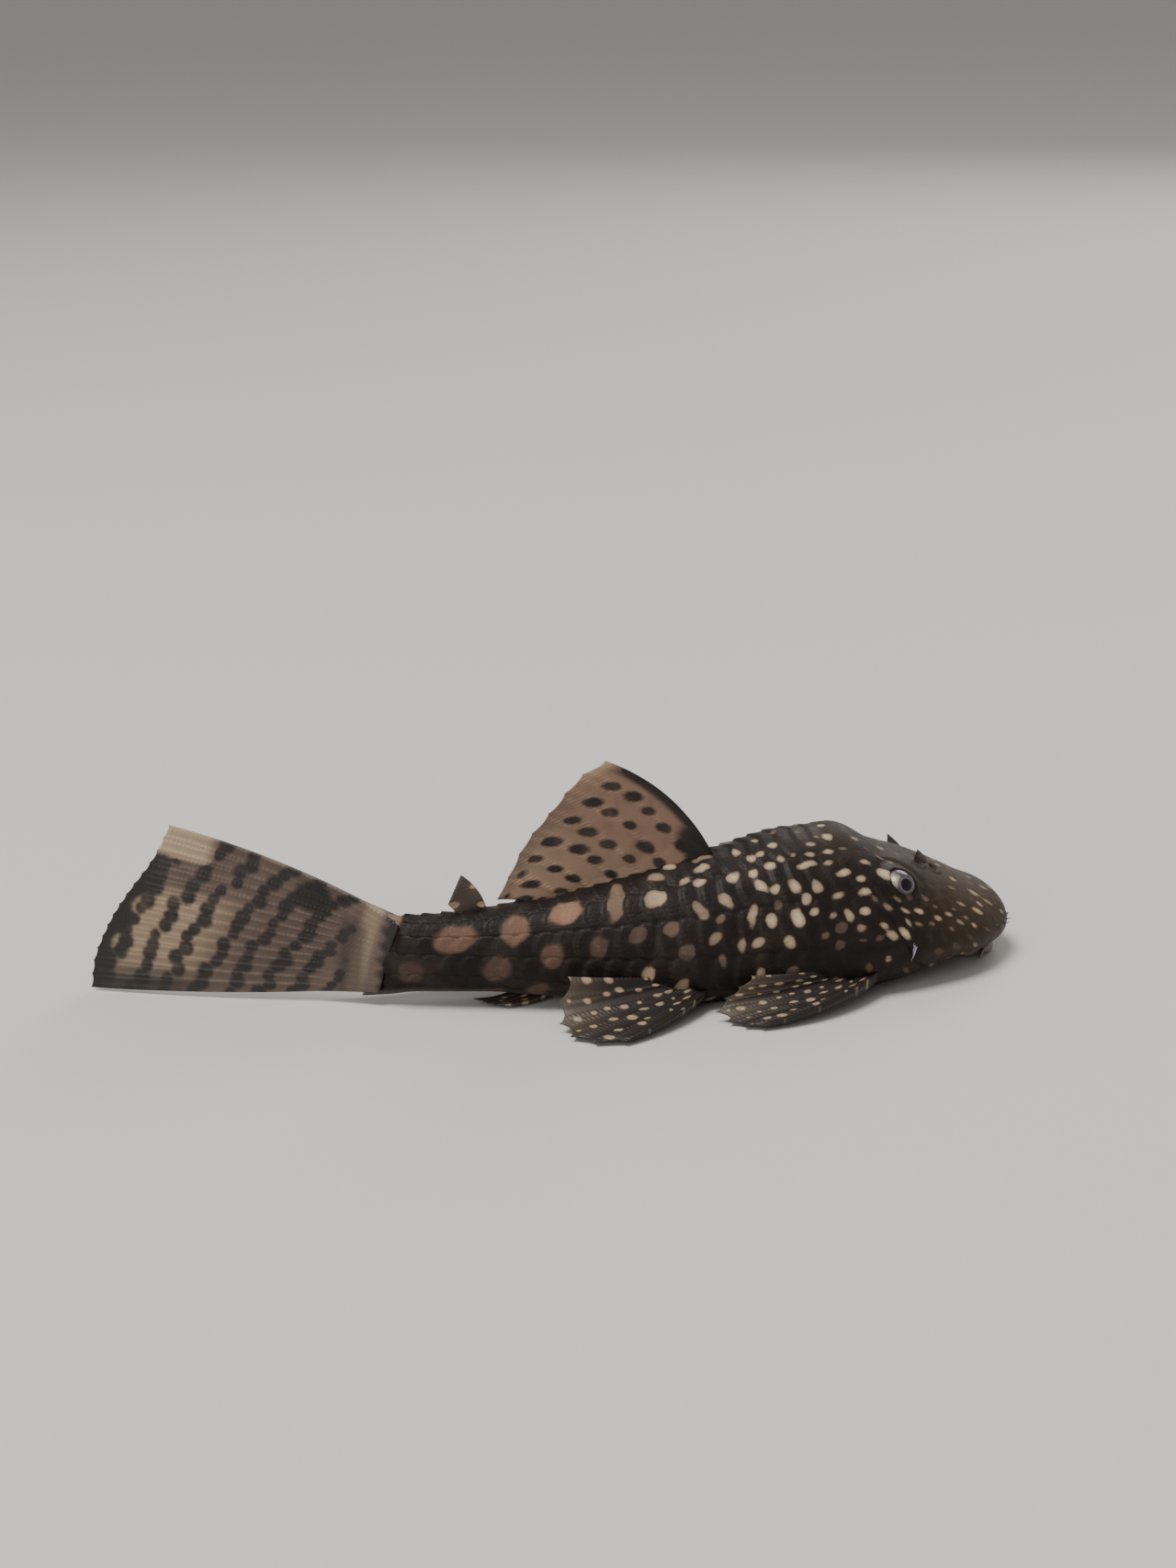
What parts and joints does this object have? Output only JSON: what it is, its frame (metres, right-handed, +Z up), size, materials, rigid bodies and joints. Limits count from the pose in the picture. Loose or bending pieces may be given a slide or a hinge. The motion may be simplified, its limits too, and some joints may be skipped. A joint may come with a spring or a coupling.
{
  "type": "bristlenose pleco model",
  "caption": "Still, life-size bristlenose pleco resting on its belly, spotted dark body with bony plates, raised rayed dorsal fin, sucker mouth and spread tail fin.",
  "frame": {"origin": "on the floor under the flat of the belly, on the midline 33 mm behind the snout of the straightened fish", "axes": "+X towards the head, +Y to the fish's left, +Z up; head and tail bend towards +Y"},
  "size_m": [0.0972, 0.033, 0.0249],
  "materials": {
    "skin": "dark brown-black, satin wet skin with cream spots",
    "lips": "soft pale brown lip skin",
    "eye": "wet grey-blue iris round a black pupil",
    "fin": "tan-brown membrane with dark spots along the rays"
  },
  "bodies": {
    "root": {"head": "skin", "trunk": "skin", "tail_stalk": "skin", "mouth_disc": "lips", "eye_left": "eye", "eye_right": "eye", "dorsal_fin": "fin", "adipose_fin": "fin", "caudal_fin": "fin", "anal_fin": "fin", "pectoral_fin_left": "fin", "pectoral_fin_right": "fin", "pelvic_fin_left": "fin", "pelvic_fin_right": "fin"}
  },
  "joints": []
}
